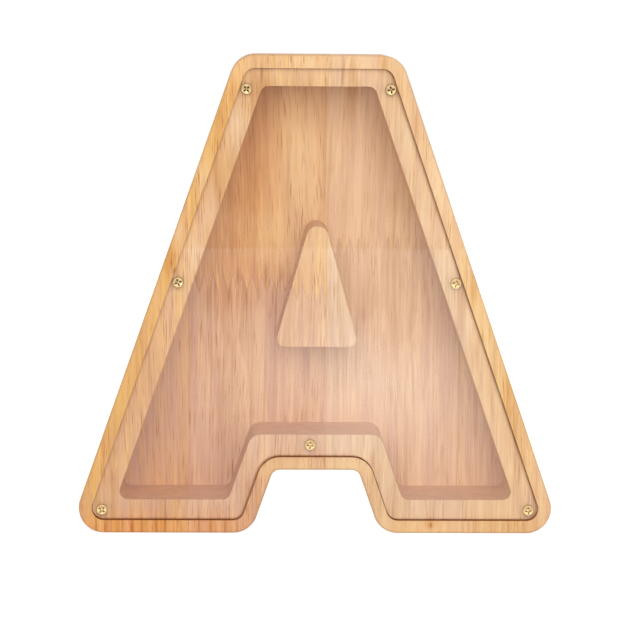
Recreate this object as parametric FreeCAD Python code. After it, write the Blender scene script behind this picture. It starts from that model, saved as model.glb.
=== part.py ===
"""Letter-shaped wooden money box.

A blank of edge-glued, finger-jointed staves is milled to the outline of a letter A. Its front has a
pocket for the coins, with the letter's middle left standing as an island, and a rebate round the pocket
that takes a clear window. Seven screws hold the window on its ledge, and a slot in the top takes coins.

Frame: millimetres, +Z up, the front faces -Y. The origin is under the middle of the box, between its feet,
and half-way from the screw heads to the back.
"""

import FreeCAD
import Part

import math
import os

from FreeCAD import Vector

# Outline of the letter, between its sharp corners
HEIGHT = 200.0
TOP_WIDTH = 67.4
FOOT_SPAN = 207.4
NOTCH_WIDTH = 35.6
NOTCH_HEIGHT = 27.0
CORNER_RADIUS = 10.6
NOTCH_RADIUS = 4.0
DEPTH = 40.0
EDGE_ROUND = 1.2

# Walls round the pocket, and the step that the window lies in
SIDE_WALL = 14.2
TOP_WALL = 12.8
FOOT_WALL = 14.0
NOTCH_WALL = 14.8
LEG_INNER_WALL = 13.5
RIM = 5.5
BACK = 6.5
POCKET_RADIUS = 3.5
POCKET_NOTCH_RADIUS = 5.5

# Island in the pocket, the counter of the letter
ISLAND_BASE_HEIGHT = 79.0
ISLAND_BASE_WIDTH = 35.2
ISLAND_SIDE_SLOPE = 0.28
ISLAND_BASE_RADIUS = 3.4
ISLAND_APEX_RADIUS = 4.6

# Window, which lies a little left of and above the middle of its rebate
WINDOW_THICKNESS = 2.0
WINDOW_RECESS = 0.5
WINDOW_SEAT_CLEARANCE = 0.1
WINDOW_GAP = 0.5
WINDOW_SHIFT_LEFT = 0.3
WINDOW_SHIFT_UP = 0.3

# Coin slot through the top
SLOT_LENGTH = 42.0
SLOT_WIDTH = 5.0
SLOT_ROUND = 0.8

# Screws
SCREW_HEAD_RADIUS = 2.25
SCREW_HEAD_HEIGHT = 1.3
SCREW_HEAD_EDGE = 0.6
SCREW_HEAD_TOP_RADIUS = 1.55
SCREW_RADIUS = 1.1
SCREW_LENGTH = 12.0
SCREW_POINT = 2.5
SCREW_TIP_RADIUS = 0.15
RECESS_SPAN = 2.6
RECESS_BOTTOM_SPAN = 1.0
RECESS_WIDTH = 0.65
RECESS_DEPTH = 0.95
SCREW_WINDOW_CLEARANCE = 0.25
SCREW_WOOD_CLEARANCE = 0.05
PILOT_EXTRA_DEPTH = 0.5

# Places of the screws: heights on the sides, and distances in from the edge of the window
TOP_SCREW_DROP = 14.0
MIDDLE_SCREW_HEIGHT = 106.0
SIDE_SCREW_MARGIN = 2.4
FOOT_SCREW_MARGIN = 4.0
NOTCH_SCREW_MARGIN = 4.7
NOTCH_SCREW_OFFSET = -2.5

# Staves of the blank: one glue line stands off the middle, and the next are a stave away each side
STAVE_WIDTH = 58.0
MIDDLE_GLUE_LINE = 4.0
FINGER_LENGTH = 7.0
FINGER_TIP = 0.6
FINGERS_PER_STAVE = 14
LEFT_FINGER_JOINT_HEIGHT = 102.0
RIGHT_FINGER_JOINT_HEIGHT = 118.5

# Worked out from the sizes above
HEAD_STANDS_OUT = SCREW_HEAD_HEIGHT - WINDOW_RECESS
FRONT = (HEAD_STANDS_OUT - DEPTH) / 2
BACK_FACE = FRONT + DEPTH
WINDOW_FACE = FRONT + WINDOW_RECESS
REBATE_DEPTH = WINDOW_RECESS + WINDOW_THICKNESS + WINDOW_SEAT_CLEARANCE
LEDGE = FRONT + REBATE_DEPTH
POCKET_FLOOR = BACK_FACE - BACK
SIDE_SLOPE = (FOOT_SPAN - TOP_WIDTH) / 2 / HEIGHT
SIDE_STRETCH = math.hypot(1.0, SIDE_SLOPE)
LEFT_GLUE_LINE = MIDDLE_GLUE_LINE - STAVE_WIDTH
RIGHT_GLUE_LINE = MIDDLE_GLUE_LINE + STAVE_WIDTH
WINDOW_INSET = RIM + WINDOW_GAP
BEYOND = 5.0


def half_width(height):
    """Half the letter's width at a height, to its slanting sides."""
    return FOOT_SPAN / 2 - SIDE_SLOPE * height


def letter_corners():
    """Sharp corners of the outline as (x, z), from the left foot's outer one, along the base first."""
    foot, top, notch = FOOT_SPAN / 2, TOP_WIDTH / 2, NOTCH_WIDTH / 2
    notch_foot = notch + SIDE_SLOPE * NOTCH_HEIGHT
    right = [(notch, NOTCH_HEIGHT), (notch_foot, 0.0), (foot, 0.0), (top, HEIGHT)]
    left = [(-x, z) for x, z in reversed(right)]
    return left[1:] + right + left[:1]


# Which corners of letter_corners turn inwards, and what wall lies along the edge after each corner
NOTCH_CORNERS = (2, 3)
EDGE_WALLS = [
    FOOT_WALL,
    LEG_INNER_WALL,
    NOTCH_WALL,
    LEG_INNER_WALL,
    FOOT_WALL,
    SIDE_WALL,
    TOP_WALL,
    SIDE_WALL,
]


def inset_corners(corners, distances):
    """Corners of a polygon whose edges each move inwards by their own distance."""
    moved = []
    for i, distance in enumerate(distances):
        (x0, z0), (x1, z1) = corners[i], corners[(i + 1) % len(corners)]
        length = math.hypot(x1 - x0, z1 - z0)
        along = ((x1 - x0) / length, (z1 - z0) / length)
        moved.append(((x0 - along[1] * distance, z0 + along[0] * distance), along))
    found = []
    for i, (start, along) in enumerate(moved):
        before, before_along = moved[i - 1]
        turn = before_along[0] * along[1] - before_along[1] * along[0]
        gap = (start[0] - before[0], start[1] - before[1])
        reach = (gap[0] * along[1] - gap[1] * along[0]) / turn
        found.append((before[0] + before_along[0] * reach, before[1] + before_along[1] * reach))
    return found


def rounded_wire(corners, radii, y):
    """Closed wire through (x, z) corners at depth y, each corner rounded to its own radius."""
    points = [Vector(x, y, z) for x, z in corners]
    stretches = []
    for i, (point, radius) in enumerate(zip(points, radii)):
        to_before = (points[i - 1] - point).normalize()
        to_after = (points[(i + 1) % len(points)] - point).normalize()
        half_angle = to_before.getAngle(to_after) / 2
        tangent = radius / math.tan(half_angle)
        middle = (to_before + to_after).normalize() * (radius / math.sin(half_angle) - radius)
        stretches.append((point + to_before * tangent, point + middle, point + to_after * tangent))
    edges = []
    for i, (start, middle, end) in enumerate(stretches):
        edges.append(Part.Arc(start, middle, end).toShape())
        edges.append(Part.LineSegment(end, stretches[(i + 1) % len(stretches)][0]).toShape())
    return Part.Wire(edges)


def slab(wire, thickness):
    """Solid from a flat wire, going back from it by a thickness."""
    return Part.Face(wire).extrude(Vector(0, thickness, 0))


def letter_wire(inset, y):
    """The letter's outline drawn in by one distance all round, with its roundings kept concentric."""
    corners = inset_corners(letter_corners(), [inset] * len(EDGE_WALLS))
    radii = [CORNER_RADIUS - inset] * len(corners)
    for i in NOTCH_CORNERS:
        radii[i] = NOTCH_RADIUS + inset
    return rounded_wire(corners, radii, y)


def pocket_wire(y):
    """Mouth of the pocket, behind walls of their own widths."""
    corners = inset_corners(letter_corners(), EDGE_WALLS)
    radii = [POCKET_RADIUS] * len(corners)
    for i in NOTCH_CORNERS:
        radii[i] = POCKET_NOTCH_RADIUS
    return rounded_wire(corners, radii, y)


def island_wire(y):
    """The island's outline: a tall triangle with a round top."""
    half_base = ISLAND_BASE_WIDTH / 2
    apex = ISLAND_BASE_HEIGHT + half_base / ISLAND_SIDE_SLOPE
    corners = [(-half_base, ISLAND_BASE_HEIGHT), (half_base, ISLAND_BASE_HEIGHT), (0.0, apex)]
    return rounded_wire(corners, [ISLAND_BASE_RADIUS, ISLAND_BASE_RADIUS, ISLAND_APEX_RADIUS], y)


def screw_places():
    """Name and (x, z) of each screw."""
    foot_inset = WINDOW_INSET + FOOT_SCREW_MARGIN
    side_inset = WINDOW_INSET + SIDE_SCREW_MARGIN
    levels = (
        ("top", HEIGHT - TOP_SCREW_DROP, side_inset),
        ("middle", MIDDLE_SCREW_HEIGHT, side_inset),
        ("foot", foot_inset, foot_inset),
    )
    places = {}
    for level, height, inset in levels:
        x = half_width(height) - inset * SIDE_STRETCH
        places[f"screw_{level}_left"] = (-x, height)
        places[f"screw_{level}_right"] = (x, height)
    places["screw_notch"] = (NOTCH_SCREW_OFFSET, NOTCH_HEIGHT + WINDOW_INSET + NOTCH_SCREW_MARGIN)
    return places


def round_hole(x, z, radius, start, length):
    """Cylinder along +Y for a hole in the front."""
    return Part.makeCylinder(radius, length, Vector(x, start, z), Vector(0, 1, 0))


def make_coin_slot():
    """Cutter for the slot: round-ended, through the top wall, with its mouth eased."""
    half_run = (SLOT_LENGTH - SLOT_WIDTH) / 2
    y = (LEDGE + POCKET_FLOOR) / 2
    ends = [Vector(sign * half_run, y + side * SLOT_WIDTH / 2, HEIGHT) for sign, side in
            ((-1, -1), (1, -1), (1, 1), (-1, 1))]
    right_end = Vector(half_run + SLOT_WIDTH / 2, y, HEIGHT)
    left_end = Vector(-half_run - SLOT_WIDTH / 2, y, HEIGHT)
    mouth = Part.Wire([
        Part.LineSegment(ends[0], ends[1]).toShape(),
        Part.Arc(ends[1], right_end, ends[2]).toShape(),
        Part.LineSegment(ends[2], ends[3]).toShape(),
        Part.Arc(ends[3], left_end, ends[0]).toShape(),
    ])
    eased = mouth.makeOffset2D(SLOT_ROUND)
    lower = mouth.copy()
    lower.translate(Vector(0, 0, -SLOT_ROUND))
    flare = Part.makeLoft([lower, eased], True, True)
    return Part.Face(mouth).extrude(Vector(0, 0, -TOP_WALL - BEYOND)).fuse(flare)


def make_milled_blank():
    """The whole wooden body in one piece, before it is parted at its glue lines."""
    blank = slab(letter_wire(0.0, FRONT), DEPTH)
    face_edges = [e for e in blank.Edges if e.BoundBox.YLength < EDGE_ROUND]
    body = blank.makeFillet(EDGE_ROUND, face_edges)
    body = body.cut(slab(letter_wire(RIM, FRONT - BEYOND), BEYOND + REBATE_DEPTH))
    pocket_depth = POCKET_FLOOR - LEDGE
    island = slab(island_wire(LEDGE), pocket_depth)
    body = body.cut(slab(pocket_wire(LEDGE), pocket_depth).cut(island))
    body = body.cut(make_coin_slot())
    hole_depth = SCREW_LENGTH - (LEDGE - WINDOW_FACE) + PILOT_EXTRA_DEPTH
    for x, z in screw_places().values():
        body = body.cut(round_hole(x, z, SCREW_RADIUS + SCREW_WOOD_CLEARANCE, LEDGE, hole_depth))
    return body


def upright_band(left, right):
    """Block that takes in everything between two upright glue lines."""
    return Part.makeBox(right - left, DEPTH + 2 * BEYOND, HEIGHT + 2 * BEYOND,
                        Vector(left, FRONT - BEYOND, -BEYOND))


def below_finger_joint(left, right, height):
    """Block that takes in a stave below its finger joint, with tapered fingers along its upper end."""
    pitch = (right - left) / FINGERS_PER_STAVE
    low, high = height - FINGER_LENGTH / 2, height + FINGER_LENGTH / 2
    points = [(left, low)]
    for i in range(FINGERS_PER_STAVE):
        start = left + i * pitch
        points.append((start + FINGER_TIP / 2, low))
        points.append((start + pitch / 2 - FINGER_TIP / 2, high))
        points.append((start + pitch / 2 + FINGER_TIP / 2, high))
        points.append((start + pitch - FINGER_TIP / 2, low))
    points += [(right, low), (right, -BEYOND), (left, -BEYOND)]
    outline = [Vector(x, FRONT - BEYOND, z) for x, z in points]
    return slab(Part.makePolygon(outline + outline[:1]), DEPTH + 2 * BEYOND)


def make_staves():
    """The body parted into its staves, and the two inner staves into their finger-jointed lengths."""
    body = make_milled_blank()
    reach = FOOT_SPAN / 2 + BEYOND
    staves = {
        "left_outer_stave": body.common(upright_band(-reach, LEFT_GLUE_LINE)),
        "right_outer_stave": body.common(upright_band(RIGHT_GLUE_LINE, reach)),
    }
    for side, left, right, height in (
        ("left", LEFT_GLUE_LINE, MIDDLE_GLUE_LINE, LEFT_FINGER_JOINT_HEIGHT),
        ("right", MIDDLE_GLUE_LINE, RIGHT_GLUE_LINE, RIGHT_FINGER_JOINT_HEIGHT),
    ):
        stave = body.common(upright_band(left, right))
        lower_block = below_finger_joint(left, right, height)
        staves[f"{side}_inner_stave_lower"] = stave.common(lower_block)
        staves[f"{side}_inner_stave_upper"] = stave.cut(lower_block)
    return staves


def make_window():
    """Clear panel that lies in the rebate, drilled for the screws."""
    window = slab(letter_wire(WINDOW_INSET, WINDOW_FACE), WINDOW_THICKNESS)
    window.translate(Vector(-WINDOW_SHIFT_LEFT, 0, WINDOW_SHIFT_UP))
    for x, z in screw_places().values():
        hole_radius = SCREW_RADIUS + SCREW_WINDOW_CLEARANCE
        window = window.cut(round_hole(x, z, hole_radius, WINDOW_FACE, WINDOW_THICKNESS))
    return window


def make_screw(x, z):
    """Pan-head wood screw with a cross recess, seated on the window and pointing backwards."""
    seat, top = WINDOW_FACE, WINDOW_FACE - SCREW_HEAD_HEIGHT
    end = seat + SCREW_LENGTH
    edge = seat - SCREW_HEAD_EDGE
    crown = Vector(0, top, 0)
    crown_edge = Vector(SCREW_HEAD_TOP_RADIUS, top, 0)
    rim_top = Vector(SCREW_HEAD_RADIUS, edge, 0)
    rim_bottom = Vector(SCREW_HEAD_RADIUS, seat, 0)
    neck = Vector(SCREW_RADIUS, seat, 0)
    shoulder = Vector(SCREW_RADIUS, end - SCREW_POINT, 0)
    tip_edge = Vector(SCREW_TIP_RADIUS, end, 0)
    tip = Vector(0, end, 0)
    profile = [crown, crown_edge, rim_top, rim_bottom, neck, shoulder, tip_edge, tip, crown]
    turned = Part.Face(Part.makePolygon(profile)).revolve(Vector(0, 0, 0), Vector(0, 1, 0), 360)
    screw = turned.cut(make_cross_recess(top))
    screw.translate(Vector(x, 0, z))
    return screw


def make_cross_recess(top):
    """Cutter for the recess: two crossed wings that narrow towards the bottom."""
    floor = top + RECESS_DEPTH
    wide, narrow = RECESS_SPAN / 2, RECESS_BOTTOM_SPAN / 2
    mouth = top - BEYOND
    outline = [(-wide, mouth), (-wide, top), (-narrow, floor), (narrow, floor), (wide, top), (wide, mouth)]
    points = [Vector(x, y, -RECESS_WIDTH / 2) for x, y in outline]
    wing = Part.Face(Part.makePolygon(points + points[:1])).extrude(Vector(0, 0, RECESS_WIDTH))
    crossing = wing.copy()
    crossing.rotate(Vector(0, 0, 0), Vector(0, 1, 0), 90)
    return wing.fuse(crossing)


def main():
    nodes = make_staves()
    nodes["window"] = make_window()
    for name, (x, z) in screw_places().items():
        nodes[name] = make_screw(x, z)
    os.makedirs("parts", exist_ok=True)
    for name, shape in nodes.items():
        solid = shape.removeSplitter()
        print(name, len(solid.Solids), solid.isValid(), round(solid.Volume, 2))
        solid.exportStep(f"parts/{name}.step")


main()
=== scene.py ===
"""Looks of a wooden letter money box: a board of glued staves, milled and sanded, with a clear acrylic
window held on by small brass screws. Metres, +Z up, the front faces -Y."""

import math

import bpy
import numpy as np
from mathutils import Matrix, Vector


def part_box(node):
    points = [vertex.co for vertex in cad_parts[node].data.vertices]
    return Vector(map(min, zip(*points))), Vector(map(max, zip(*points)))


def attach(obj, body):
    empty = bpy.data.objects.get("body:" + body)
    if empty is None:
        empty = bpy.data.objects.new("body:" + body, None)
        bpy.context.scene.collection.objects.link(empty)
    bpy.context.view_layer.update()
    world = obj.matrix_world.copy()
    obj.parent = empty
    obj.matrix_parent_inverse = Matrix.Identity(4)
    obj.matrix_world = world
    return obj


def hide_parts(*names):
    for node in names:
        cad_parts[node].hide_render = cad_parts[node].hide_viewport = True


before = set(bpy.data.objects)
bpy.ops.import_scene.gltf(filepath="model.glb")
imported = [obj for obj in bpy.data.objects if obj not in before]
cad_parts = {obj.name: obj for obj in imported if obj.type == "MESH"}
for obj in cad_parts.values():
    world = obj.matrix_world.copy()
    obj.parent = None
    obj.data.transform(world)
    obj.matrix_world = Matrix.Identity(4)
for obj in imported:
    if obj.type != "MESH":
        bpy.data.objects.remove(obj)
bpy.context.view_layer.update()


# Wooden body
# Six lengths of pale, straight-grained hardwood, glued edge to edge into one board and finger-jointed end to
# end. The board was milled to the letter's outline, then sanded and given a thin coat of matt oil.


def add_node(tree, kind, inputs=None, **settings):
    """A new node with its settings, whose inputs are given as values or as sockets to link."""
    made = tree.nodes.new(kind)
    for name, value in settings.items():
        setattr(made, name, value)
    for name, value in (inputs or {}).items():
        if isinstance(value, bpy.types.NodeSocket):
            tree.links.new(value, made.inputs[name])
        else:
            made.inputs[name].default_value = value
    return made


def calculate(tree, operation, *values, clamp=False):
    """The result of one Math node on values or sockets."""
    made = add_node(tree, "ShaderNodeMath", dict(enumerate(values)), operation=operation, use_clamp=clamp)
    return made.outputs[0]


def stretch(tree, vector, scale):
    """A vector with each axis scaled by itself."""
    made = add_node(tree, "ShaderNodeVectorMath", {0: vector, 1: scale}, operation="MULTIPLY")
    return made.outputs[0]


def noise(tree, position, rate, detail, roughness=0.55):
    """Smooth noise of about 0 to 1, with a rate of cells to each unit of the position on each axis."""
    made = add_node(
        tree,
        "ShaderNodeTexNoise",
        {
            "Vector": stretch(tree, position, rate),
            "Scale": 1.0,
            "Detail": detail,
            "Roughness": roughness,
        },
    )
    return made.outputs["Fac"]


def remap(tree, value, low, high, to_low=0.0, to_high=1.0, smooth=False):
    """A value taken from one range to another, and held inside it."""
    made = add_node(
        tree,
        "ShaderNodeMapRange",
        {"Value": value, "From Min": low, "From Max": high, "To Min": to_low, "To Max": to_high},
        interpolation_type="SMOOTHSTEP" if smooth else "LINEAR",
    )
    return made.outputs["Result"]


def blend(tree, factor, first, second):
    """Two colours mixed by a factor."""
    made = add_node(tree, "ShaderNodeMix", data_type="RGBA")
    for socket, value in ((made.inputs[0], factor), (made.inputs[6], first), (made.inputs[7], second)):
        if isinstance(value, bpy.types.NodeSocket):
            tree.links.new(value, socket)
        else:
            socket.default_value = value
    return made.outputs[2]


def new_group(name, inputs, outputs):
    """A shader node group with its sockets, and its two end nodes."""
    group = bpy.data.node_groups.new(name, "ShaderNodeTree")
    for label, kind, default in inputs:
        socket = group.interface.new_socket(label, in_out="INPUT", socket_type=kind)
        if default is not None:
            socket.default_value = default
    for label, kind in outputs:
        group.interface.new_socket(label, in_out="OUTPUT", socket_type=kind)
    return group, group.nodes.new("NodeGroupInput").outputs, group.nodes.new("NodeGroupOutput").inputs


def new_material(name):
    """A material, its node tree and the Principled node that it starts with."""
    material = bpy.data.materials.new(name)
    material.use_nodes = True
    return material, material.node_tree, material.node_tree.nodes["Principled BSDF"]


# How often each pattern of the grain repeats in a millimetre: across the stave, into it and up it
sway_rate = (0.05, 0.05, 0.022)
drift_rate = (0.03, 0.03, 0.006)
fibre_rate = (1.5, 1.5, 0.032)
streak_rate = (0.24, 0.24, 0.006)
cloud_rate = (0.05, 0.05, 0.013)
flush_rate = (0.035, 0.035, 0.017)
hue_rate = (0.55, 0.55, 0.012)
pore_rate = (2.6, 2.6, 0.085)
crowd_rate = (0.25, 0.25, 0.012)

# How far slow noise bends the grain, in millimetres, and how much each pattern counts
sway_reach = 1.8
drift_reach = 46.0
ring_weight = 0.26
fibre_weight = 0.58
streak_weight = 0.42
cloud_weight = 0.24
hue_weight = 0.7
flush_weight = 0.5
crowd_weight = 0.25
fibre_height = 0.35

# Between which two values each pattern rises or falls, and how smooth and how rough the wood gets
ring_rise_range = (0.05, 0.86)
ring_fall_range = (0.88, 0.99)
fibre_range = (0.4, 0.6)
streak_range = (0.4, 0.62)
cloud_range = (0.35, 0.65)
tone_range = (0.25, 1.12)
rosy_range = (0.5, 0.7)
pore_range = (0.71, 0.84)
sheen_range = (0.3, 0.7)
wood_smoothest = 0.46
wood_roughest = 0.62


def make_wood_grain():
    """Solid wood with its grain up Z, in millimetres. Growth rings are bands of distance from a far heart,
    bent by slow noise. Fibres are noise drawn out along Z, and pores are the peaks of finer such noise."""
    group, given, result = new_group(
        "wood_grain",
        [
            ("Position", "NodeSocketVector", None),
            ("Pale", "NodeSocketColor", (0.8, 0.5, 0.25, 1)),
            ("Deep", "NodeSocketColor", (0.6, 0.3, 0.12, 1)),
            ("Rosy", "NodeSocketColor", (0.7, 0.4, 0.25, 1)),
            ("Pore Depth", "NodeSocketFloat", 0.6),
            ("Ring Width", "NodeSocketFloat", 7.0),
        ],
        [
            ("Color", "NodeSocketColor"),
            ("Pores", "NodeSocketFloat"),
            ("Roughness", "NodeSocketFloat"),
            ("Height", "NodeSocketFloat"),
            ("Streak", "NodeSocketFloat"),
        ],
    )
    straight = given["Position"]
    sway = noise(group, straight, sway_rate, detail=2.0)
    sway = calculate(group, "MULTIPLY_ADD", sway, sway_reach, -sway_reach / 2)
    aside = add_node(group, "ShaderNodeCombineXYZ", {"X": sway}).outputs[0]
    position = add_node(group, "ShaderNodeVectorMath", {0: straight, 1: aside}).outputs[0]
    flat = stretch(group, position, (1, 1, 0))
    distance = add_node(group, "ShaderNodeVectorMath", {0: flat}, operation="LENGTH").outputs["Value"]
    drift = noise(group, position, drift_rate, detail=2.0)
    distance = calculate(group, "MULTIPLY_ADD", drift, drift_reach, distance)
    ring = calculate(group, "FRACT", calculate(group, "DIVIDE", distance, given["Ring Width"]))
    ring_rise = remap(group, ring, *ring_rise_range, smooth=True)
    ring_fall = remap(group, ring, *ring_fall_range, 1.0, 0.0, smooth=True)
    rings = calculate(group, "MULTIPLY", ring_rise, ring_fall)
    fibre = noise(group, position, fibre_rate, detail=4.0, roughness=0.75)
    fibre_mask = remap(group, fibre, *fibre_range)
    streak = remap(group, noise(group, position, streak_rate, detail=3.0), *streak_range)
    cloud = remap(group, noise(group, position, cloud_rate, detail=2.0), *cloud_range)
    tone = calculate(group, "MULTIPLY", rings, ring_weight)
    tone = calculate(group, "MULTIPLY_ADD", fibre_mask, fibre_weight, tone)
    tone = calculate(group, "MULTIPLY_ADD", streak, streak_weight, tone)
    tone = calculate(group, "MULTIPLY_ADD", cloud, cloud_weight, tone)
    tone = remap(group, tone, *tone_range)
    flush = calculate(group, "MULTIPLY", noise(group, position, flush_rate, detail=1.0), flush_weight)
    hue = noise(group, position, hue_rate, detail=2.0)
    flush = calculate(group, "MULTIPLY_ADD", hue, hue_weight, flush)
    colour = blend(group, tone, given["Pale"], given["Deep"])
    rosy = blend(group, tone, given["Pale"], given["Rosy"])
    colour = blend(group, remap(group, flush, *rosy_range, smooth=True), colour, rosy)
    crowd = noise(group, position, crowd_rate, detail=2.0)
    pore = noise(group, position, pore_rate, detail=1.5)
    pore = remap(group, calculate(group, "MULTIPLY_ADD", crowd, crowd_weight, pore), *pore_range)
    raised = calculate(group, "MULTIPLY_ADD", fibre, fibre_height, 1 - fibre_height)
    roughness = remap(group, fibre, *sheen_range, wood_smoothest, wood_roughest)
    group.links.new(colour, result["Color"])
    group.links.new(calculate(group, "MULTIPLY", pore, given["Pore Depth"]), result["Pores"])
    group.links.new(roughness, result["Roughness"])
    group.links.new(calculate(group, "SUBTRACT", raised, pore), result["Height"])
    group.links.new(fibre_mask, result["Streak"])
    return group


def make_soft_spot():
    """A soft spot: a bell over the distance from a centre, with a half size of its own on each axis."""
    group, given, result = new_group(
        "soft_spot",
        [
            ("Position", "NodeSocketVector", None),
            ("Centre", "NodeSocketVector", None),
            ("Half Size", "NodeSocketVector", None),
            ("Depth", "NodeSocketFloat", 0.5),
        ],
        [("Mask", "NodeSocketFloat")],
    )
    apart = add_node(
        group, "ShaderNodeVectorMath", {0: given["Position"], 1: given["Centre"]}, operation="SUBTRACT"
    ).outputs[0]
    share = add_node(
        group, "ShaderNodeVectorMath", {0: apart, 1: given["Half Size"]}, operation="DIVIDE"
    ).outputs[0]
    square = add_node(group, "ShaderNodeVectorMath", {0: share, 1: share}, operation="DOT_PRODUCT")
    bell = calculate(group, "EXPONENT", calculate(group, "MULTIPLY", square.outputs["Value"], -1.0))
    group.links.new(calculate(group, "MULTIPLY", bell, given["Depth"]), result["Mask"])
    return group


# The staves' width, the fingers' length and pitch, and how far off a joint its line starts and ends to fade
stave_width = 58.0
finger_count = 14
finger_length = 7.0
finger_pitch = stave_width / finger_count
seam_core = 0.15
seam_reach = 0.9


def make_finger_seam():
    """A line along a finger joint, in millimetres: a triangle wave of X that fades to each side."""
    group, given, result = new_group(
        "finger_seam",
        [
            ("Position", "NodeSocketVector", None),
            ("Start", "NodeSocketFloat", 0.0),
            ("Height", "NodeSocketFloat", 100.0),
        ],
        [("Mask", "NodeSocketFloat")],
    )
    axes = add_node(group, "ShaderNodeSeparateXYZ", {0: given["Position"]}).outputs
    across = calculate(group, "SUBTRACT", axes["X"], given["Start"])
    wave = calculate(group, "PINGPONG", across, finger_pitch / 2)
    rise = calculate(group, "MULTIPLY_ADD", wave, 2 * finger_length / finger_pitch, -finger_length / 2)
    off = calculate(group, "SUBTRACT", calculate(group, "SUBTRACT", axes["Z"], given["Height"]), rise)
    off = calculate(group, "ABSOLUTE", off)
    group.links.new(remap(group, off, seam_core, seam_reach, 1.0, 0.0), result["Mask"])
    return group


wood_grain = make_wood_grain()
soft_spot = make_soft_spot()
finger_seam = make_finger_seam()

# Each length's pale, deep and rosy wood, its place in the log in millimetres from the heart, its lean in
# degrees, the width of its rings in millimetres and the depth of its pores
staves = {
    "left_outer_stave": (
        (0.86, 0.50, 0.17), (0.61, 0.28, 0.08), (0.70, 0.38, 0.24), (-20, 90, 37), 1.5, 6.5, 0.85,
    ),
    "left_inner_stave_lower": (
        (0.82, 0.51, 0.28), (0.60, 0.30, 0.14), (0.67, 0.37, 0.24), (-70, 75, 410), -1.0, 7.5, 0.95,
    ),
    "left_inner_stave_upper": (
        (0.87, 0.51, 0.20), (0.60, 0.27, 0.07), (0.67, 0.33, 0.13), (30, 60, 830), 2.0, 8.5, 0.9,
    ),
    "right_inner_stave_lower": (
        (0.85, 0.58, 0.34), (0.66, 0.38, 0.18), (0.70, 0.42, 0.27), (10, 110, 1270), 0.8, 7.0, 0.55,
    ),
    "right_inner_stave_upper": (
        (0.88, 0.60, 0.33), (0.70, 0.40, 0.17), (0.74, 0.44, 0.26), (80, 70, 1690), -1.5, 8.0, 0.55,
    ),
    "right_outer_stave": (
        (0.87, 0.60, 0.32), (0.70, 0.40, 0.18), (0.75, 0.43, 0.26), (45, 95, 2110), 1.0, 6.0, 0.6,
    ),
}

# The layers that marks lie in: their middle and half depth on Y, in millimetres
layers = {
    "through": (0, 1e6),
    "front": (-19, 5),
    "rim": (-20.5, 2.5),
    "ledge": (-16, 2),
    "floor": (12.5, 5),
}
brown = (0.38, 0.11, 0.015, 1)
amber = (0.60, 0.24, 0.04, 1)
gold = (0.90, 0.57, 0.20, 1)
rose = (0.62, 0.34, 0.24, 1)
blush = (0.84, 0.55, 0.38, 1)
sienna = (0.64, 0.31, 0.16, 1)
cream = (0.96, 0.72, 0.46, 1)
straw = (0.98, 0.66, 0.30, 1)
rust = (0.84, 0.32, 0.08, 1)

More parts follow.
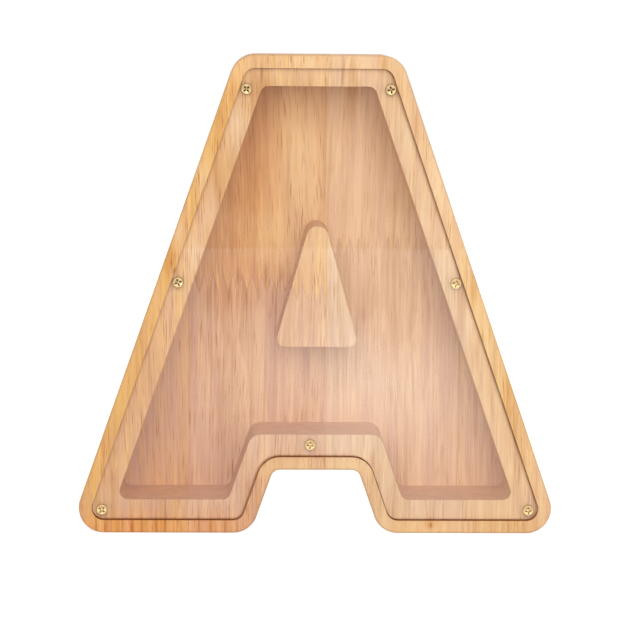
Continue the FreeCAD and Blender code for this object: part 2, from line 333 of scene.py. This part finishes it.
# Stains, streaks and knots of each length, and some painted light: painted shade on the pocket's floor low
# in the legs, painted reflections of the window on the ledge, and painted highlights on the top rim and the
# notch's rim. Each mark gives the layer and the colour, then the middle on X and Z, the half width and the
# half height in millimetres, and how strong the mark is
marks = {
    "left_outer_stave": [
        ("rim", gold, -64, 96, 14, 44, 0.65),
        ("rim", gold, -82, 58, 6, 18, 0.8),
        ("rim", amber, -69, 91, 3, 10, 0.35),
        ("ledge", sienna, -74, 52, 20, 48, 0.75),
        # Painted shade: the pocket's floor darker low in the left leg
        ("floor", rose, -64, 52, 26, 56, 0.8),
        ("through", amber, -61, 115, 2.4, 8, 0.95),
        ("through", brown, -60.6, 114, 0.6, 1.6, 0.95),
        ("through", brown, -59.4, 110.5, 0.8, 1.2, 0.95),
        ("through", brown, -86, 30, 1.2, 30, 0.3),
        ("front", rust, -76, 3, 30, 6, 0.6),
        ("front", rose, -74, 12, 16, 4, 0.4),
        ("front", brown, -92, 3, 0.4, 6, 0.8),
        ("front", brown, -88, 3, 0.5, 7, 0.7),
        ("front", brown, -81, 3, 0.4, 6, 0.9),
        ("front", brown, -77, 3, 0.5, 5, 0.8),
        ("front", brown, -73, 3, 0.6, 6, 0.9),
        ("front", brown, -67, 3, 0.4, 6, 0.8),
        ("front", brown, -63, 6, 0.5, 9, 0.9),
        ("front", brown, -58, 7, 0.4, 9, 0.8),
        ("front", cream, -58, 128, 3, 9, 0.4),
    ],
    "left_inner_stave_upper": [
        ("rim", gold, -44, 150, 12, 44, 0.6),
        ("through", amber, -30, 150, 8, 55, 0.6),
        ("rim", cream, -48, 150, 3, 8, 0.7),
        # Painted reflection: pale patches of the window's sheen on the ledge under the sheet
        ("ledge", cream, -33, 171, 7, 17, 0.95),
        ("ledge", blush, -46, 136, 5, 10, 0.9),
        ("ledge", cream, -51, 119, 4, 9, 0.8),
        ("floor", amber, -42, 114, 12, 14, 0.9),
        ("floor", amber, -36, 150, 8, 22, 0.4),
        ("floor", gold, -9, 172, 8, 24, 0.6),
        ("floor", gold, -17, 122, 14, 14, 0.5),
        ("floor", amber, -24, 108, 16, 7, 0.6),
        ("through", amber, -23, 176, 5, 34, 0.45),
        ("through", cream, -4, 150, 12, 38, 0.6),
        # Painted highlight: glare on the top rim and the ledge beside it
        ("front", cream, -8, 197, 40, 8, 0.65),
        ("through", brown, -23.5, 192, 0.6, 5, 0.9),
        ("through", brown, -27, 170, 1.5, 30, 0.35),
        ("through", brown, -12, 150, 0.7, 14, 0.45),
        ("floor", brown, -44, 104, 0.8, 4, 0.8),
        ("floor", brown, -40, 106, 0.7, 6, 0.9),
        ("floor", brown, -33, 105, 1.0, 4, 0.95),
        ("floor", brown, -26.5, 108, 0.7, 8, 0.9),
        ("floor", brown, -21, 105, 1.0, 5, 0.95),
        ("floor", brown, -15, 106, 0.7, 4, 0.8),
    ],
    "left_inner_stave_lower": [
        ("floor", amber, -38, 99, 18, 9, 0.95),
        ("floor", brown, -48, 84, 3, 18, 0.3),
        ("floor", brown, -31, 84, 4, 16, 0.25),
        ("floor", brown, -45.5, 95, 0.9, 8, 0.9),
        ("floor", brown, -37, 98, 0.9, 5, 0.95),
        ("floor", brown, -30, 96, 0.8, 6, 0.9),
        ("floor", brown, -24, 98, 0.9, 4, 0.95),
        ("floor", brown, -18.5, 97, 0.8, 5, 0.9),
        ("front", rust, -46, 3, 18, 6, 0.6),
        ("front", brown, -49, 3, 0.4, 6, 0.8),
        ("front", brown, -44, 3, 0.5, 6, 0.8),
        ("front", brown, -38, 3, 0.4, 5, 0.7),
        ("front", gold, -12, 28, 16, 5, 0.6),
        # Painted light: lifts the shade on the notch's rim
        ("rim", cream, -6, 29, 18, 4, 0.4),
        ("through", brown, -17, 92, 0.8, 7, 0.5),
        ("through", brown, -40, 60, 1.0, 26, 0.3),
        ("through", brown, -8, 45, 0.8, 20, 0.35),
        # Painted shade: the pocket's floor darker in the left foot
        ("floor", rose, -42, 25, 16, 22, 0.4),
    ],
    "right_inner_stave_upper": [
        ("rim", cream, 46, 150, 8, 30, 0.4),
        ("rim", sienna, 40, 175, 5, 16, 0.6),
        ("rim", straw, 62, 110, 7, 22, 0.8),
        ("floor", blush, 18, 148, 12, 26, 0.5),
        # Painted reflection: a pale patch of the window's sheen on the ledge
        ("ledge", cream, 37, 172, 5, 14, 0.7),
        # Painted highlight: glare on the top rim and the ledge beside it
        ("front", cream, 20, 198, 30, 6, 0.4),
        ("through", brown, 4.8, 197, 0.5, 4, 0.8),
        ("through", brown, 10, 193, 0.6, 8, 0.6),
        ("through", amber, 14, 192, 1.5, 9, 0.85),
        ("through", amber, 16.5, 186, 1.2, 5, 0.75),
        ("through", amber, 26, 197, 1.8, 4, 0.85),
    ],
    "right_inner_stave_lower": [
        ("rim", straw, 62, 110, 7, 22, 0.8),
        ("rim", straw, 46, 3, 18, 6, 0.9),
        ("front", gold, 14, 28, 14, 5, 0.5),
        # Painted light: lifts the shade on the notch's rim
        ("rim", cream, 12, 29, 16, 4, 0.4),
        ("front", amber, 48.5, 4, 2.2, 2.6, 0.9),
        ("front", brown, 48.5, 3.6, 0.8, 0.9, 0.7),
        ("floor", brown, 24.7, 106.6, 0.6, 0.9, 0.8),
        ("through", brown, 18, 70, 0.6, 22, 0.3),
        ("through", brown, 40, 50, 0.8, 30, 0.3),
    ],
    "right_outer_stave": [
        ("front", gold, 80, 50, 16, 55, 0.5),
        ("rim", straw, 66, 98, 7, 22, 0.8),
        ("rim", amber, 80, 60, 3, 10, 0.6),
        ("rim", amber, 80, 3, 14, 6, 0.3),
        # Painted reflection: a pale patch of the window's sheen on the ledge
        ("ledge", cream, 61, 90, 5, 9, 0.9),
        ("ledge", sienna, 67, 75, 4, 7, 0.6),
        ("ledge", sienna, 78, 44, 4, 12, 0.5),
        ("front", amber, 84, 40, 5, 30, 0.4),
        ("front", amber, 65, 104, 1.6, 7, 0.8),
        # Painted shade: the pocket's floor darker in the right foot
        ("floor", rose, 76, 34, 20, 34, 0.5),
        ("through", brown, 69, 64, 0.8, 9, 0.6),
        ("through", brown, 74, 58, 0.9, 12, 0.5),
        ("front", brown, 84, 44, 0.8, 10, 0.4),
    ],
}

# A mark shows fully on dark fibres and by this share between them
mark_evenness = 0.3

# Glue lines on X, and each finger joint's start on X and its height, in millimetres, and how dark it is
middle_line = 4.0
left_line = middle_line - stave_width
right_line = middle_line + stave_width
glue_lines = {"left": (left_line, middle_line), "right": (middle_line, right_line)}
finger_joints = {"left_inner": (left_line, 102.0, 0.7), "right_inner": (middle_line, 118.5, 0.1)}
glue_line_reach = 0.32
glue_line_share = 0.3

# A finger joint is faint at the front of the board and dark towards the pocket's floor
seam_front_y = -19.0
seam_full_y = 10.0
seam_front_share = 0.3

# Faces that look sideways show long grain, and faces that look up or down show end grain, its light tone
# painted light that lifts the shade on the pocket's walls; the rebate's lower walls take painted shade, the
# dark line in the gap round the window
side_facing = (0.4, 0.8)
side_grain_stretch = 0.12
end_facing = (0.75, 1.0)
end_grain_share = 0.3
gap_shade_facing = (0.3, 0.7)
gap_shade_y = (-17.1, -16.9)
gap_shade_z = (90, 100)
gap_shade_share = 0.85

pore_brown = (0.46, 0.13, 0.012, 1)
glue_and_shade_brown = (0.44, 0.14, 0.02, 1)
end_grain_and_painted_light = (0.84, 0.50, 0.32, 1)
wood_specular = 0.3
grain_bump_strength = 0.25
grain_bump_height = 0.00012
to_millimetres = (1000, 1000, 1000)

for name, (pale, deep, rosy, log_place, lean, ring_width, pore_depth) in staves.items():
    material, tree, surface = new_material(name + "_wood")
    coordinates = add_node(tree, "ShaderNodeTexCoord").outputs
    position = stretch(tree, coordinates["Object"], to_millimetres)
    axes = add_node(tree, "ShaderNodeSeparateXYZ", {0: position}).outputs
    facing = add_node(tree, "ShaderNodeSeparateXYZ", {0: coordinates["Normal"]}).outputs
    sideways = calculate(tree, "ABSOLUTE", facing["X"])
    drawn_out = remap(tree, sideways, *side_facing, 1.0, side_grain_stretch)
    grain_scale = add_node(tree, "ShaderNodeCombineXYZ", {"X": drawn_out, "Y": 1, "Z": 1}).outputs[0]
    in_log = add_node(
        tree,
        "ShaderNodeMapping",
        {
            "Vector": stretch(tree, position, grain_scale),
            "Location": log_place,
            "Rotation": (0, math.radians(lean), 0),
        },
    )
    grain = add_node(
        tree,
        "ShaderNodeGroup",
        {
            "Position": in_log.outputs["Vector"],
            "Pale": (*pale, 1),
            "Deep": (*deep, 1),
            "Rosy": (*rosy, 1),
            "Pore Depth": pore_depth,
            "Ring Width": ring_width,
        },
        node_tree=wood_grain,
    ).outputs
    colour = grain["Color"]
    frayed = calculate(tree, "MULTIPLY_ADD", grain["Streak"], 1 - mark_evenness, mark_evenness)
    for layer, stain, x, z, half_width, half_height, strength in marks[name]:
        y, half_depth = layers[layer]
        mark = add_node(
            tree,
            "ShaderNodeGroup",
            {
                "Position": position,
                "Centre": (x, y, z),
                "Half Size": (half_width, half_depth, half_height),
                "Depth": strength,
            },
            node_tree=soft_spot,
        ).outputs["Mask"]
        colour = blend(tree, calculate(tree, "MULTIPLY", mark, frayed), colour, stain)
    colour = blend(tree, grain["Pores"], colour, pore_brown)
    for line in glue_lines[name.split("_")[0]]:
        off = calculate(tree, "ABSOLUTE", calculate(tree, "SUBTRACT", axes["X"], line))
        glue = remap(tree, off, 0.0, glue_line_reach, glue_line_share, 0.0)
        colour = blend(tree, glue, colour, glue_and_shade_brown)
    row = name.split("_stave")[0]
    if row in finger_joints:
        start, height, darkness = finger_joints[row]
        seam = add_node(
            tree,
            "ShaderNodeGroup",
            {"Position": position, "Start": start, "Height": height},
            node_tree=finger_seam,
        ).outputs["Mask"]
        deep_in = remap(tree, axes["Y"], seam_front_y, seam_full_y, seam_front_share, 1.0)
        seam = calculate(tree, "MULTIPLY", seam, calculate(tree, "MULTIPLY", deep_in, darkness))
        colour = blend(tree, seam, colour, glue_and_shade_brown)
    # End grain, with a light tone that is painted light lifting the shade on faces that look up or down
    up_or_down = calculate(tree, "ABSOLUTE", facing["Z"])
    end_grain = remap(tree, up_or_down, *end_facing, 0.0, end_grain_share)
    colour = blend(tree, end_grain, colour, end_grain_and_painted_light)
    # Painted shade: the rebate's lower walls darkened to a brown line in the gap round the window
    in_rebate = remap(tree, axes["Y"], *gap_shade_y, 1.0, 0.0)
    gap_shade = calculate(tree, "MULTIPLY", remap(tree, facing["Z"], *gap_shade_facing), in_rebate)
    gap_shade = calculate(tree, "MULTIPLY", gap_shade, remap(tree, axes["Z"], *gap_shade_z, gap_shade_share, 0.0))
    colour = blend(tree, gap_shade, colour, glue_and_shade_brown)
    bump = add_node(
        tree,
        "ShaderNodeBump",
        {"Strength": grain_bump_strength, "Distance": grain_bump_height, "Height": grain["Height"]},
    )
    surface.inputs["Specular IOR Level"].default_value = wood_specular
    tree.links.new(colour, surface.inputs["Base Color"])
    tree.links.new(grain["Roughness"], surface.inputs["Roughness"])
    tree.links.new(bump.outputs["Normal"], surface.inputs["Normal"])
    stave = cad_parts[name]
    stave.data.materials.clear()
    stave.data.materials.append(material)


# Window
# A clear acrylic sheet, sawn to the shape of the rebate and drilled for the screws. It lies on the ledge and
# shows a soft reflection of what is in front of it.

acrylic_tint = (0.985, 0.985, 0.98, 1)
acrylic_index = 1.49
acrylic_roughness = 0.015
sheet_wave_strength = 0.04
sheet_wave_height = 0.001
sheet_waves_per_metre = 14.0

material, tree, surface = new_material("clear_acrylic")
surface.inputs["Base Color"].default_value = acrylic_tint
surface.inputs["IOR"].default_value = acrylic_index
surface.inputs["Roughness"].default_value = acrylic_roughness
surface.inputs["Transmission Weight"].default_value = 1.0
wave = add_node(
    tree,
    "ShaderNodeTexNoise",
    {
        "Vector": add_node(tree, "ShaderNodeTexCoord").outputs["Object"],
        "Scale": sheet_waves_per_metre,
        "Detail": 1.0,
    },
)
bump = add_node(
    tree,
    "ShaderNodeBump",
    {"Strength": sheet_wave_strength, "Distance": sheet_wave_height, "Height": wave.outputs["Fac"]},
)
tree.links.new(bump.outputs["Normal"], surface.inputs["Normal"])
path = add_node(tree, "ShaderNodeLightPath").outputs
lamp_ray = calculate(tree, "ADD", path["Is Shadow Ray"], path["Is Diffuse Ray"], clamp=True)
open_to_lamps = add_node(
    tree,
    "ShaderNodeMixShader",
    {
        0: lamp_ray,
        1: surface.outputs["BSDF"],
        2: add_node(tree, "ShaderNodeBsdfTransparent").outputs["BSDF"],
    },
)
tree.links.new(open_to_lamps.outputs["Shader"], tree.nodes["Material Output"].inputs["Surface"])
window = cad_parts["window"]
window.data.materials.clear()
window.data.materials.append(material)


# Window edge
# The cut edge of the same acrylic sheet, which the saw left frosted. Its pale tan is painted light: the
# wood's light that the frosted edge picks up. It lets no clear view through and moves with the window.

# Painted light: the wood's light on the frosted edge
edge_painted_wood_light = (0.74, 0.52, 0.31, 1)
edge_roughness = 0.55
edge_stands_off = 0.00003
edge_facing = 0.5
edge_crease = math.radians(40)
hole_reach = 0.0022
merge_digits = 7


def edge_surface(sheet, holes):
    """The sheet's own outer edge, moved out by a hair: the triangles that look along the sheet, less those
    round the screw holes. Each corner moves along the mean of its triangles' normals."""
    places = np.empty((len(sheet.vertices), 3))
    sheet.vertices.foreach_get("co", places.ravel())
    corners = np.empty((len(sheet.polygons), 3), dtype=np.int32)
    sheet.polygons.foreach_get("vertices", corners.ravel())
    normals = np.empty((len(sheet.polygons), 3))
    sheet.polygons.foreach_get("normal", normals.ravel())
    middles = places[corners].mean(axis=1)
    apart = np.hypot(middles[:, 0, None] - holes[:, 0], middles[:, 2, None] - holes[:, 1])
    kept = (np.abs(normals[:, 1]) < edge_facing) & (apart.min(axis=1) > hole_reach)
    used = places[corners[kept]].reshape(-1, 3).round(merge_digits)
    points, merged = np.unique(used, axis=0, return_inverse=True)
    out = np.zeros_like(points)
    np.add.at(out, merged.ravel(), np.repeat(normals[kept], 3, axis=0))
    out /= np.linalg.norm(out, axis=1, keepdims=True)
    return points + edge_stands_off * out, merged.reshape(-1, 3)


def add_object(name, data):
    """An object of the scene that holds a mesh, a lamp or a camera."""
    made = bpy.data.objects.new(name, data)
    bpy.context.scene.collection.objects.link(made)
    return made


screw_names = [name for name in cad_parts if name.startswith("screw_")]
screw_boxes = [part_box(name) for name in screw_names]
holes = np.array([((low.x + high.x) / 2, (low.z + high.z) / 2) for low, high in screw_boxes])
points, faces = edge_surface(window.data, holes)
mesh = bpy.data.meshes.new("window_edge")
mesh.from_pydata(points.tolist(), [], faces.tolist())
mesh.shade_smooth()
mesh.set_sharp_from_angle(angle=edge_crease)
material, tree, surface = new_material("frosted_edge")
surface.inputs["Base Color"].default_value = edge_painted_wood_light
surface.inputs["Roughness"].default_value = edge_roughness
mesh.materials.append(material)
edge = add_object("window_edge", mesh)
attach(edge, "window")


# Screws
# Small brass-plated pan-head wood screws with a cross recess, rolled from wire. They go through the window
# into drilled holes in the ledge, and each stopped at its own turn.

# Sizes in metres, how round the curves are, where painted shade gathers, and the grid's rows and columns
head_radius = 0.00225
head_height = 0.0013
head_edge = 0.00045
dome_flatness = 2.6
dome_roundness = 0.55
recess_reach = 0.0017
recess_floor_reach = 0.0006
recess_half_width = 0.00024
recess_wall = 0.0001
recess_depth = 0.0010
shank_radius = 0.0011
core_radius = 0.0008
thread_pitch = 0.0011
ridge_sharpness = 3
plain_shank = 0.003
point_length = 0.0028
point_roundness = 0.8
tip_radius = 0.0001
arm_shade_start = 0.0003
arm_shade_rise = 0.0004
arm_shade_depth = recess_depth / 4
edge_shade = 0.75
edge_shade_start = 0.8
columns = 96
rows_on_head = 36
rows_on_edge = 6
rows_under_head = 4
rows_on_shank = 92
row_spacing = 0.9
screw_crease = math.radians(50)


def smooth_step(value):
    """0 below 0, 1 above 1, and a smooth rise between."""
    value = np.clip(value, 0.0, 1.0)
    return value * value * (3 - 2 * value)


def screw_surface(length):
    """Points of a screw on +Y, its head's seat at 0, as rows from the crown to the tip by turns about Y.
    The head is a flattened dome less two crossed wedges. The thread is a ridge that climbs a pitch a turn.
    The second result is how much painted shade each point takes: most in the recess's arms and round the
    head's edge."""
    turn = np.linspace(0, 2 * np.pi, columns, endpoint=False)[None, :]
    radius = head_radius * np.linspace(0.0, 1.0, rows_on_head)[:, None] ** row_spacing
    share = radius / head_radius
    dome = head_edge + (head_height - head_edge) * (1 - share**dome_flatness) ** dome_roundness
    across, along = radius * np.cos(turn), radius * np.sin(turn)
    depth = np.zeros_like(across)
    for u, v in ((across, along), (along, across)):
        end = (recess_reach - np.abs(u)) / (recess_reach - recess_floor_reach)
        side = (recess_half_width + recess_wall - np.abs(v)) / recess_wall
        depth = np.maximum(depth, recess_depth * np.clip(end, 0, 1) * smooth_step(side))
    head = (radius + 0 * turn, -dome + depth)
    edge_step = np.linspace(0, 1, rows_on_edge + 1)[1:, None]
    edge = (head_radius + 0 * edge_step * turn, -head_edge * (1 - edge_step) + 0 * turn)
    under_step = np.linspace(0, 1, rows_under_head + 1)[1:, None]
    under = (head_radius + (shank_radius - head_radius) * under_step + 0 * turn, 0 * under_step * turn)
    y = np.linspace(0, length, rows_on_shank + 1)[1:, None] + 0 * turn
    ridge = np.abs((y / thread_pitch - turn / (2 * np.pi)) % 1.0 - 0.5) * 2
    cut = smooth_step((y - plain_shank) / thread_pitch)
    taper = np.clip((length - y) / point_length, 0, 1) ** point_roundness
    body = shank_radius - (shank_radius - core_radius) * cut * (1 - ridge**ridge_sharpness)
    shank = (tip_radius + (body - tip_radius) * taper, y)
    radii = np.concatenate([part[0] for part in (head, edge, under, shank)])
    depths = np.concatenate([part[1] for part in (head, edge, under, shank)])
    # Painted shade in the recess's arms and round the head's edge
    in_arm = smooth_step(depth / arm_shade_depth) * smooth_step((radius - arm_shade_start) / arm_shade_rise)
    at_edge = edge_shade * smooth_step((share - edge_shade_start) / (1 - edge_shade_start))
    painted_shade = np.zeros_like(radii)
    painted_shade[:rows_on_head] = np.maximum(in_arm, at_edge)
    painted_shade[rows_on_head : rows_on_head + rows_on_edge] = edge_shade
    return np.stack([radii * np.cos(turn), depths, radii * np.sin(turn)], axis=-1), painted_shade


def tube_mesh(name, points):
    """A mesh of quads over rows of points that close round, with a fan over each end."""
    rows, around = points.shape[:2]
    index = np.arange(rows * around).reshape(rows, around)
    beside = np.roll(index, -1, axis=1)
    quads = np.stack([index[:-1], index[1:], beside[1:], beside[:-1]], axis=-1).reshape(-1, 4)
    ends = np.array([points[0].mean(0), points[-1].mean(0)])
    first, last = rows * around, rows * around + 1
    start_fan = np.stack([beside[0], np.full(around, first), index[0]], axis=-1)
    end_fan = np.stack([index[-1], np.full(around, last), beside[-1]], axis=-1)
    mesh = bpy.data.meshes.new(name)
    mesh.from_pydata(
        np.concatenate([points.reshape(-1, 3), ends]).tolist(),
        [],
        quads.tolist() + start_fan.tolist() + end_fan.tolist(),
    )
    mesh.validate()
    return mesh


brass_bright = (1.0, 0.75, 0.40, 1)
brass_dull = (0.92, 0.64, 0.30, 1)
brass_in_shade = (0.14, 0.07, 0.015, 1)
brass_smoothest = 0.22
brass_roughest = 0.4
rub_rate = (900, 900, 900)
rub_dull_range = (0.35, 0.7)
rub_rough_range = (0.3, 0.7)

brass, tree, surface = new_material("brass_plate")
surface.inputs["Metallic"].default_value = 1.0
rubbed = noise(tree, add_node(tree, "ShaderNodeTexCoord").outputs["Object"], rub_rate, detail=3.0)
plate = blend(tree, remap(tree, rubbed, *rub_dull_range), brass_bright, brass_dull)
painted_shade = add_node(tree, "ShaderNodeAttribute", attribute_name="painted_shade").outputs["Fac"]
roughness = remap(tree, rubbed, *rub_rough_range, brass_smoothest, brass_roughest)
# Painted shade darkens the plate in the recess's arms and round the head's edge
tree.links.new(blend(tree, painted_shade, plate, brass_in_shade), surface.inputs["Base Color"])
tree.links.new(roughness, surface.inputs["Roughness"])

# Each screw's turn in degrees and how strong its painted shade is
screws = {
    "screw_top_left": (40, 1.0),
    "screw_top_right": (12, 1.0),
    "screw_middle_left": (20, 1.0),
    "screw_middle_right": (75, 0.5),
    "screw_foot_left": (52, 0.5),
    "screw_foot_right": (5, 0.5),
    "screw_notch": (85, 0.5),
}
seat_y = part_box("window")[0].y
for name, (turned, shade_strength) in screws.items():
    low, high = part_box(name)
    points, painted_shade = screw_surface(high.y - seat_y)
    angle = math.radians(turned)
    x, z = points[..., 0].copy(), points[..., 2].copy()
    points[..., 0] = x * math.cos(angle) - z * math.sin(angle) + (low.x + high.x) / 2
    points[..., 1] += seat_y
    points[..., 2] = x * math.sin(angle) + z * math.cos(angle) + (low.z + high.z) / 2
    mesh = tube_mesh(name + "_turned", points)
    values = shade_strength * np.concatenate([painted_shade.ravel(), [0.0, 0.0]])
    mesh.attributes.new("painted_shade", "FLOAT", "POINT").data.foreach_set("value", values.astype(np.float32))
    mesh.shade_smooth()
    mesh.set_sharp_from_angle(angle=screw_crease)
    mesh.materials.append(brass)
    screw = add_object(name + "_turned", mesh)
    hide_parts(name)
    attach(screw, name)


# Floor
# A wide white table top that the box stands on. It shows white to the camera and in reflections, keeps the
# box's soft shadow, and has a brighter pool of light ahead of the box that the window reflects.

floor_half = 6.0
floor_plain = (0.8, 0.8, 0.8, 1)
floor_shaded = (0.4, 0.4, 0.4, 1)
floor_glow = 0.86
pool_centre = (0.042, -0.42, 0.0)
pool_half = (0.06, 0.24, 1.0)
pool_glow = 1.7


def shown_white(tree):
    """1 on rays that show a surface straight, in a reflection or through glass, and 0 past a matt bounce."""
    path = add_node(tree, "ShaderNodeLightPath").outputs
    seen = calculate(tree, "ADD", path["Is Camera Ray"], path["Is Glossy Ray"])
    seen = calculate(tree, "ADD", seen, path["Is Transmission Ray"], clamp=True)
    no_bounce = calculate(tree, "LESS_THAN", path["Diffuse Depth"], 0.5)
    return calculate(tree, "MULTIPLY", seen, no_bounce)


def flat_mesh(name, corners, material):
    """A mesh of one face with four corners."""
    mesh = bpy.data.meshes.new(name)
    mesh.from_pydata(corners, [], [(0, 1, 2, 3)])
    mesh.materials.append(material)
    return mesh


material, tree, surface = new_material("white_table")
tree.nodes.remove(surface)
pool = add_node(
    tree,
    "ShaderNodeGroup",
    {
        "Position": add_node(tree, "ShaderNodeTexCoord").outputs["Object"],
        "Centre": pool_centre,
        "Half Size": pool_half,
        "Depth": pool_glow,
    },
    node_tree=soft_spot,
).outputs["Mask"]
shaded = add_node(tree, "ShaderNodeBsdfDiffuse", {"Color": floor_shaded})
glow = add_node(tree, "ShaderNodeEmission", {"Strength": calculate(tree, "ADD", pool, floor_glow)})
white = add_node(tree, "ShaderNodeAddShader", {0: shaded.outputs[0], 1: glow.outputs[0]})
plain = add_node(tree, "ShaderNodeBsdfDiffuse", {"Color": floor_plain})
mixed = add_node(
    tree, "ShaderNodeMixShader", {0: shown_white(tree), 1: plain.outputs[0], 2: white.outputs[0]}
)
tree.links.new(mixed.outputs[0], tree.nodes["Material Output"].inputs["Surface"])
corners = [
    (-floor_half, -floor_half, 0),
    (floor_half, -floor_half, 0),
    (floor_half, floor_half, 0),
    (-floor_half, floor_half, 0),
]
floor = add_object("floor", flat_mesh("floor", corners, material))


# Dim end of the room
# A low grey wall that stands behind the camera. Only reflections show it, so the window's upper half stays
# clear and the screws' heads have something dark to reflect.

wall_y = -1.25
wall_half_width = 3.0
wall_height = 0.5
wall_glow = 0.38

material, tree, surface = new_material("dim_wall")
tree.nodes.remove(surface)
glow = add_node(tree, "ShaderNodeEmission", {"Strength": wall_glow})
tree.links.new(glow.outputs[0], tree.nodes["Material Output"].inputs["Surface"])
corners = [
    (-wall_half_width, wall_y, 0),
    (-wall_half_width, wall_y, wall_height),
    (wall_half_width, wall_y, wall_height),
    (wall_half_width, wall_y, 0),
]
wall = add_object("dim_wall", flat_mesh("dim_wall", corners, material))
wall.visible_camera = False
wall.visible_diffuse = False
wall.visible_transmission = False
wall.visible_shadow = False


# Light
# A large soft lamp ahead of the box and above it, a weaker one to its right, one behind it for its sides and
# back, and a white room round it.

room_fill = 0.46
lamp_aim = Vector((0, 0, 0.1))

# Each lamp's place, its width in metres and its power in watts
lamps = {
    "key": ((-0.05, -1.45, 0.7), 1.1, 11.8),
    "fill": ((0.4, -1.5, 0.3), 1.0, 4.5),
    "back": ((0.5, 1.4, 0.8), 1.2, 9.0),
}
for name, (place, width, watts) in lamps.items():
    data = bpy.data.lights.new(name, "AREA")
    data.shape = "SQUARE"
    data.size = width
    data.energy = watts
    lamp = add_object(name, data)
    lamp.location = place
    lamp.rotation_mode = "QUATERNION"
    lamp.rotation_quaternion = (lamp_aim - Vector(place)).to_track_quat("-Z", "Y")
    lamp.visible_camera = False
    lamp.visible_glossy = False
    lamp.visible_transmission = False

world = bpy.data.worlds.new("white_room")
bpy.context.scene.world = world
world.use_nodes = True
tree = world.node_tree
sky = tree.nodes["Background"]
sky.inputs["Color"].default_value = (1, 1, 1, 1)
tree.links.new(remap(tree, shown_white(tree), 0, 1, room_fill, 1.0), sky.inputs["Strength"])


# Camera
# A long lens a metre away, a little above the box and to its left, and very slightly rolled. Its focal
# length is given in pixels of the picture.

picture_width = 635
focal_pixels = 2310
camera_aim = Vector((0.0007, 0, 0.0895))
camera_distance = 0.98
camera_azimuth = math.radians(-1.5)
camera_elevation = math.radians(7.25)
camera_roll = math.radians(0.45)

data = bpy.data.cameras.new("camera")
data.sensor_width = 36
data.lens = focal_pixels / picture_width * data.sensor_width
data.clip_start = 0.05
data.clip_end = 50
away = Vector((
    math.sin(camera_azimuth) * math.cos(camera_elevation),
    -math.cos(camera_azimuth) * math.cos(camera_elevation),
    math.sin(camera_elevation),
))
level = Vector((0, 0, 1)).cross(away).normalized()
upright = away.cross(level)
right = math.cos(camera_roll) * level + math.sin(camera_roll) * upright
up = away.cross(right)
turn = Matrix((right, up, away)).transposed().to_4x4()
camera = add_object("camera", data)
camera.matrix_world = Matrix.Translation(camera_aim + away * camera_distance) @ turn
bpy.context.scene.camera = camera
bpy.context.scene.view_settings.view_transform = "Standard"
